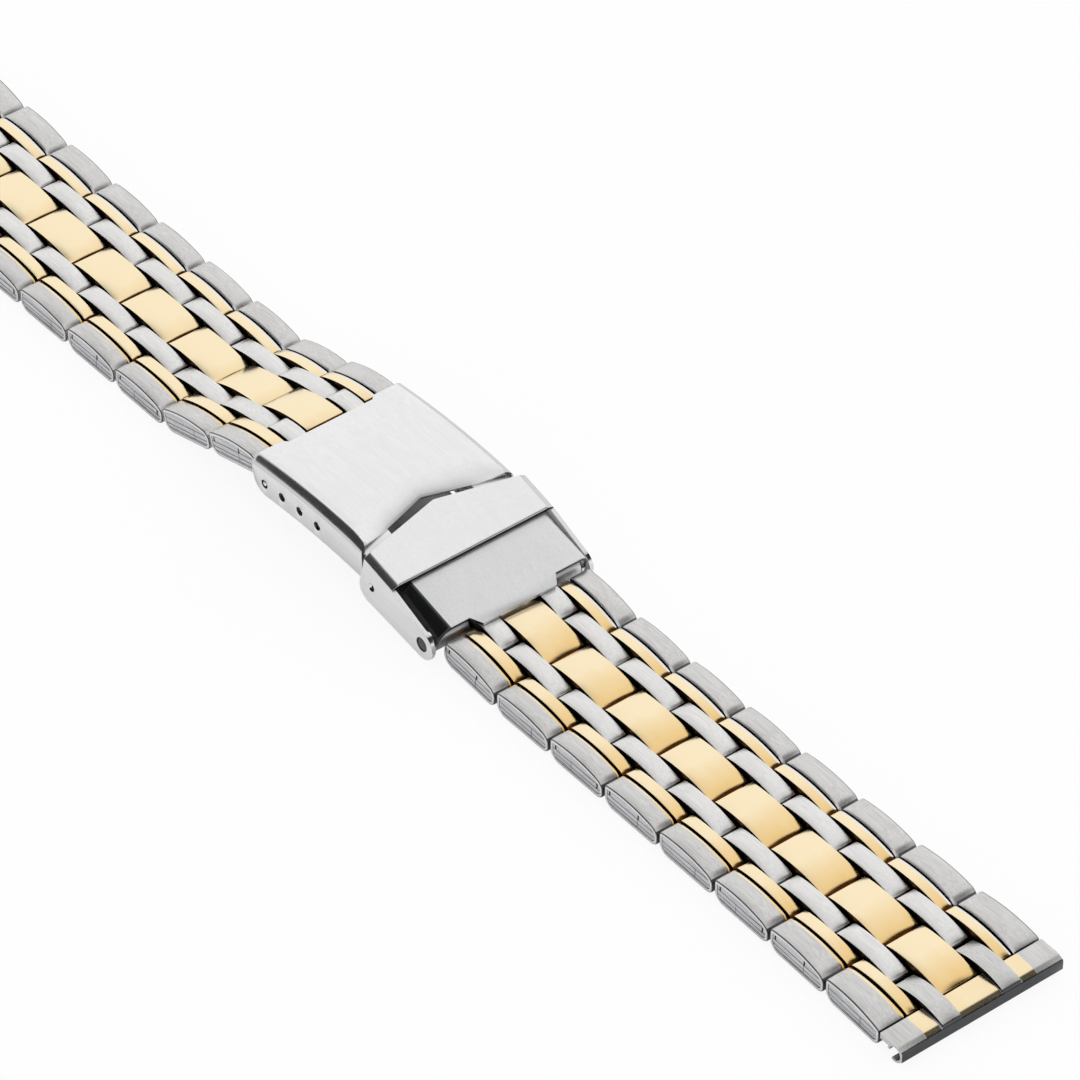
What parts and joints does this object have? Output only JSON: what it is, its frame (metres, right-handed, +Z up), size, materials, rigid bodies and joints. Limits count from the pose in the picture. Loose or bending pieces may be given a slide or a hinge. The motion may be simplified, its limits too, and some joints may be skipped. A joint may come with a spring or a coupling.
{
  "type": "watch bracelet",
  "caption": "Two-tone folded-link metal watch bracelet with straight lug ends, a fold-over clasp with an adjustable spring bar, and a flip-up safety catch.",
  "frame": {"origin": "on the table, under the middle of the laid-out bracelet", "axes": "+X along the bracelet from the long side to the short side, +Y across it, +Z up from the wrist side to the outer face"},
  "size_m": [0.178, 0.0204, 0.008],
  "materials": {
    "brushed_steel": "brushed",
    "polished_steel": "polished",
    "gold_plating": "polished pale gold plating"
  },
  "bodies": {
    "clasp_cover": {"clasp_cover": "brushed_steel", "adjuster_spring_bar": "polished_steel"},
    "outer_blade": {"outer_blade": "brushed_steel"},
    "inner_blade": {"inner_blade": "brushed_steel", "blade_end_cap": "brushed_steel", "catch_pin": "polished_steel"},
    "safety_catch": {"safety_catch": "brushed_steel"},
    "short_half_link": {"short_half_link": "brushed_steel"},
    "short_row_1": {"short_steel_row_1": "brushed_steel", "short_gold_row_1": "gold_plating"},
    "short_bridge_1": {"short_bridge_1": "brushed_steel"},
    "short_row_2": {"short_steel_row_2": "brushed_steel", "short_gold_row_2": "gold_plating"},
    "short_bridge_2": {"short_bridge_2": "brushed_steel"},
    "short_row_3": {"short_steel_row_3": "brushed_steel", "short_gold_row_3": "gold_plating"},
    "short_bridge_3": {"short_bridge_3": "brushed_steel"},
    "short_row_4": {"short_steel_row_4": "brushed_steel", "short_gold_row_4": "gold_plating"},
    "short_bridge_4": {"short_bridge_4": "brushed_steel"},
    "short_row_5": {"short_steel_row_5": "brushed_steel", "short_gold_row_5": "gold_plating"},
    "short_bridge_5": {"short_bridge_5": "brushed_steel"},
    "short_row_6": {"short_steel_row_6": "brushed_steel", "short_gold_row_6": "gold_plating"},
    "short_bridge_6": {"short_bridge_6": "brushed_steel"},
    "short_row_7": {"short_steel_row_7": "brushed_steel", "short_gold_row_7": "gold_plating"},
    "short_bridge_7": {"short_bridge_7": "brushed_steel"},
    "short_row_8": {"short_steel_row_8": "brushed_steel", "short_gold_row_8": "gold_plating"},
    "short_end_piece": {"short_end_piece": "brushed_steel"},
    "long_half_link": {"long_half_link": "brushed_steel"},
    "long_row_1": {"long_steel_row_1": "brushed_steel", "long_gold_row_1": "gold_plating"},
    "long_bridge_1": {"long_bridge_1": "brushed_steel"},
    "long_row_2": {"long_steel_row_2": "brushed_steel", "long_gold_row_2": "gold_plating"},
    "long_bridge_2": {"long_bridge_2": "brushed_steel"},
    "long_row_3": {"long_steel_row_3": "brushed_steel", "long_gold_row_3": "gold_plating"},
    "long_bridge_3": {"long_bridge_3": "brushed_steel"},
    "long_row_4": {"long_steel_row_4": "brushed_steel", "long_gold_row_4": "gold_plating"},
    "long_bridge_4": {"long_bridge_4": "brushed_steel"},
    "long_row_5": {"long_steel_row_5": "brushed_steel", "long_gold_row_5": "gold_plating"},
    "long_bridge_5": {"long_bridge_5": "brushed_steel"},
    "long_row_6": {"long_steel_row_6": "brushed_steel", "long_gold_row_6": "gold_plating"},
    "long_bridge_6": {"long_bridge_6": "brushed_steel"},
    "long_row_7": {"long_steel_row_7": "brushed_steel", "long_gold_row_7": "gold_plating"},
    "long_bridge_7": {"long_bridge_7": "brushed_steel"},
    "long_row_8": {"long_steel_row_8": "brushed_steel", "long_gold_row_8": "gold_plating"},
    "long_bridge_8": {"long_bridge_8": "brushed_steel"},
    "long_row_9": {"long_steel_row_9": "brushed_steel", "long_gold_row_9": "gold_plating"},
    "long_end_piece": {"long_end_piece": "brushed_steel"}
  },
  "joints": [
    {"name": "blade_hinge", "type": "hinge", "parent": "outer_blade", "child": "inner_blade", "pos_m": [-0.00922, 0, 0.00229], "axis": [0, 1, 0], "range_deg": [0, 165]},
    {"name": "cover_hinge", "type": "hinge", "parent": "clasp_cover", "child": "outer_blade", "pos_m": [0.00446, 0, 0.00424], "axis": [0, -1, 0], "range_deg": [0, 165]},
    {"name": "safety_catch_hinge", "type": "hinge", "parent": "inner_blade", "child": "safety_catch", "pos_m": [0.0171, 0, 0.00206], "axis": [0, 1, 0], "range_deg": [0, 120]},
    {"name": "short_half_link_hinge", "type": "hinge", "parent": "inner_blade", "child": "short_half_link", "pos_m": [0.0171, 0, 0.00206], "axis": [0, 1, 0], "range_deg": [0, 30]},
    {"name": "long_half_link_hinge", "type": "hinge", "parent": "clasp_cover", "child": "long_half_link", "pos_m": [-0.00924, 0, 0.00479], "axis": [0, -1, 0], "range_deg": [-3, 25]},
    {"name": "short_row_1_hinge", "type": "hinge", "parent": "short_half_link", "child": "short_row_1", "pos_m": [0.0211, 0, 0.00185], "axis": [0, 1, 0], "range_deg": [-11, 10]},
    {"name": "short_bridge_1_hinge", "type": "hinge", "parent": "short_row_1", "child": "short_bridge_1", "pos_m": [0.02526, 0, 0.00148], "axis": [0, 1, 0], "range_deg": [-6.5, 16.5]},
    {"name": "short_row_2_hinge", "type": "hinge", "parent": "short_bridge_1", "child": "short_row_2", "pos_m": [0.02943, 0, 0.0013], "axis": [0, 1, 0], "range_deg": [-6.5, 16.5]},
    {"name": "short_bridge_2_hinge", "type": "hinge", "parent": "short_row_2", "child": "short_bridge_2", "pos_m": [0.0336, 0, 0.0013], "axis": [0, 1, 0], "range_deg": [-9, 14]},
    {"name": "short_row_3_hinge", "type": "hinge", "parent": "short_bridge_2", "child": "short_row_3", "pos_m": [0.03778, 0, 0.0013], "axis": [0, 1, 0], "range_deg": [-9, 14]},
    {"name": "short_bridge_3_hinge", "type": "hinge", "parent": "short_row_3", "child": "short_bridge_3", "pos_m": [0.04195, 0, 0.0013], "axis": [0, 1, 0], "range_deg": [-9, 14]},
    {"name": "short_row_4_hinge", "type": "hinge", "parent": "short_bridge_3", "child": "short_row_4", "pos_m": [0.04613, 0, 0.0013], "axis": [0, 1, 0], "range_deg": [-9, 14]},
    {"name": "short_bridge_4_hinge", "type": "hinge", "parent": "short_row_4", "child": "short_bridge_4", "pos_m": [0.0503, 0, 0.0013], "axis": [0, 1, 0], "range_deg": [-9, 14]},
    {"name": "short_row_5_hinge", "type": "hinge", "parent": "short_bridge_4", "child": "short_row_5", "pos_m": [0.05448, 0, 0.0013], "axis": [0, 1, 0], "range_deg": [-9, 14]},
    {"name": "short_bridge_5_hinge", "type": "hinge", "parent": "short_row_5", "child": "short_bridge_5", "pos_m": [0.05865, 0, 0.0013], "axis": [0, 1, 0], "range_deg": [-9, 14]},
    {"name": "short_row_6_hinge", "type": "hinge", "parent": "short_bridge_5", "child": "short_row_6", "pos_m": [0.06283, 0, 0.0013], "axis": [0, 1, 0], "range_deg": [-9, 14]},
    {"name": "short_bridge_6_hinge", "type": "hinge", "parent": "short_row_6", "child": "short_bridge_6", "pos_m": [0.067, 0, 0.0013], "axis": [0, 1, 0], "range_deg": [-9, 14]},
    {"name": "short_row_7_hinge", "type": "hinge", "parent": "short_bridge_6", "child": "short_row_7", "pos_m": [0.07118, 0, 0.0013], "axis": [0, 1, 0], "range_deg": [-9, 14]},
    {"name": "short_bridge_7_hinge", "type": "hinge", "parent": "short_row_7", "child": "short_bridge_7", "pos_m": [0.07535, 0, 0.0013], "axis": [0, 1, 0], "range_deg": [-9, 14]},
    {"name": "short_row_8_hinge", "type": "hinge", "parent": "short_bridge_7", "child": "short_row_8", "pos_m": [0.07953, 0, 0.0013], "axis": [0, 1, 0], "range_deg": [-9, 14]},
    {"name": "short_end_piece_hinge", "type": "hinge", "parent": "short_row_8", "child": "short_end_piece", "pos_m": [0.0837, 0, 0.0013], "axis": [0, 1, 0], "range_deg": [-9, 14]},
    {"name": "long_row_1_hinge", "type": "hinge", "parent": "long_half_link", "child": "long_row_1", "pos_m": [-0.01322, 0, 0.00521], "axis": [0, -1, 0], "range_deg": [-26.5, 6]},
    {"name": "long_bridge_1_hinge", "type": "hinge", "parent": "long_row_1", "child": "long_bridge_1", "pos_m": [-0.01724, 0, 0.00409], "axis": [0, -1, 0], "range_deg": [-9, 14]},
    {"name": "long_row_2_hinge", "type": "hinge", "parent": "long_bridge_1", "child": "long_row_2", "pos_m": [-0.02127, 0, 0.00298], "axis": [0, -1, 0], "range_deg": [-9, 14]},
    {"name": "long_bridge_2_hinge", "type": "hinge", "parent": "long_row_2", "child": "long_bridge_2", "pos_m": [-0.02529, 0, 0.00186], "axis": [0, -1, 0], "range_deg": [-1.25, 21.75]},
    {"name": "long_row_3_hinge", "type": "hinge", "parent": "long_bridge_2", "child": "long_row_3", "pos_m": [-0.02943, 0, 0.0013], "axis": [0, -1, 0], "range_deg": [-1.25, 21.75]},
    {"name": "long_bridge_3_hinge", "type": "hinge", "parent": "long_row_3", "child": "long_bridge_3", "pos_m": [-0.0336, 0, 0.0013], "axis": [0, -1, 0], "range_deg": [-9, 14]},
    {"name": "long_row_4_hinge", "type": "hinge", "parent": "long_bridge_3", "child": "long_row_4", "pos_m": [-0.03778, 0, 0.0013], "axis": [0, -1, 0], "range_deg": [-9, 14]},
    {"name": "long_bridge_4_hinge", "type": "hinge", "parent": "long_row_4", "child": "long_bridge_4", "pos_m": [-0.04195, 0, 0.0013], "axis": [0, -1, 0], "range_deg": [-9, 14]},
    {"name": "long_row_5_hinge", "type": "hinge", "parent": "long_bridge_4", "child": "long_row_5", "pos_m": [-0.04613, 0, 0.0013], "axis": [0, -1, 0], "range_deg": [-9, 14]},
    {"name": "long_bridge_5_hinge", "type": "hinge", "parent": "long_row_5", "child": "long_bridge_5", "pos_m": [-0.0503, 0, 0.0013], "axis": [0, -1, 0], "range_deg": [-9, 14]},
    {"name": "long_row_6_hinge", "type": "hinge", "parent": "long_bridge_5", "child": "long_row_6", "pos_m": [-0.05448, 0, 0.0013], "axis": [0, -1, 0], "range_deg": [-9, 14]},
    {"name": "long_bridge_6_hinge", "type": "hinge", "parent": "long_row_6", "child": "long_bridge_6", "pos_m": [-0.05865, 0, 0.0013], "axis": [0, -1, 0], "range_deg": [-9, 14]},
    {"name": "long_row_7_hinge", "type": "hinge", "parent": "long_bridge_6", "child": "long_row_7", "pos_m": [-0.06283, 0, 0.0013], "axis": [0, -1, 0], "range_deg": [-9, 14]},
    {"name": "long_bridge_7_hinge", "type": "hinge", "parent": "long_row_7", "child": "long_bridge_7", "pos_m": [-0.067, 0, 0.0013], "axis": [0, -1, 0], "range_deg": [-9, 14]},
    {"name": "long_row_8_hinge", "type": "hinge", "parent": "long_bridge_7", "child": "long_row_8", "pos_m": [-0.07118, 0, 0.0013], "axis": [0, -1, 0], "range_deg": [-9, 14]},
    {"name": "long_bridge_8_hinge", "type": "hinge", "parent": "long_row_8", "child": "long_bridge_8", "pos_m": [-0.07535, 0, 0.0013], "axis": [0, -1, 0], "range_deg": [-9, 14]},
    {"name": "long_row_9_hinge", "type": "hinge", "parent": "long_bridge_8", "child": "long_row_9", "pos_m": [-0.07953, 0, 0.0013], "axis": [0, -1, 0], "range_deg": [-9, 14]},
    {"name": "long_end_piece_hinge", "type": "hinge", "parent": "long_row_9", "child": "long_end_piece", "pos_m": [-0.0837, 0, 0.0013], "axis": [0, -1, 0], "range_deg": [-9, 14]}
  ],
  "couplings": [
    {"joint": "cover_hinge", "follows": "blade_hinge", "ratio": 1}
  ]
}
